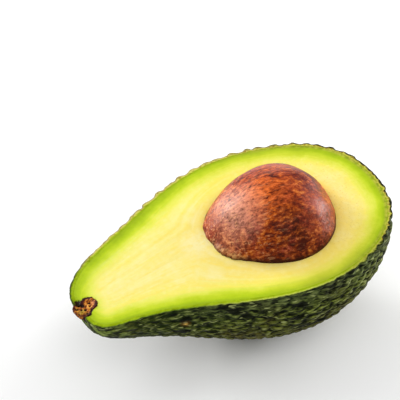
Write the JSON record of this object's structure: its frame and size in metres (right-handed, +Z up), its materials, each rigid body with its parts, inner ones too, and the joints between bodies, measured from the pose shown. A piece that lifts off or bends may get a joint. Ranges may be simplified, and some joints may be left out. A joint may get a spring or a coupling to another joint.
{
  "type": "avocado half with seed",
  "caption": "Avocado half cut lengthwise, with pebbled peel, flat cut flesh, egg-shaped seed sunk in its hollow and a short woody stem stub.",
  "frame": {"origin": "middle of the small flat spot that the half rests on", "axes": "+X along the fruit towards its broad blossom end, +Y across the fruit, +Z up; the cut face slopes down towards the stem end"},
  "size_m": [0.1057, 0.0683, 0.0517],
  "materials": {
    "peel": "dark green, pebbled and waxy",
    "flesh": "moist, pale yellow turning to green under the peel",
    "seed": "smooth, mottled red-brown",
    "stem": "rough and dry"
  },
  "bodies": {
    "root": {"peel": "peel", "flesh": "flesh", "seed": "seed", "stem": "stem"}
  },
  "joints": []
}
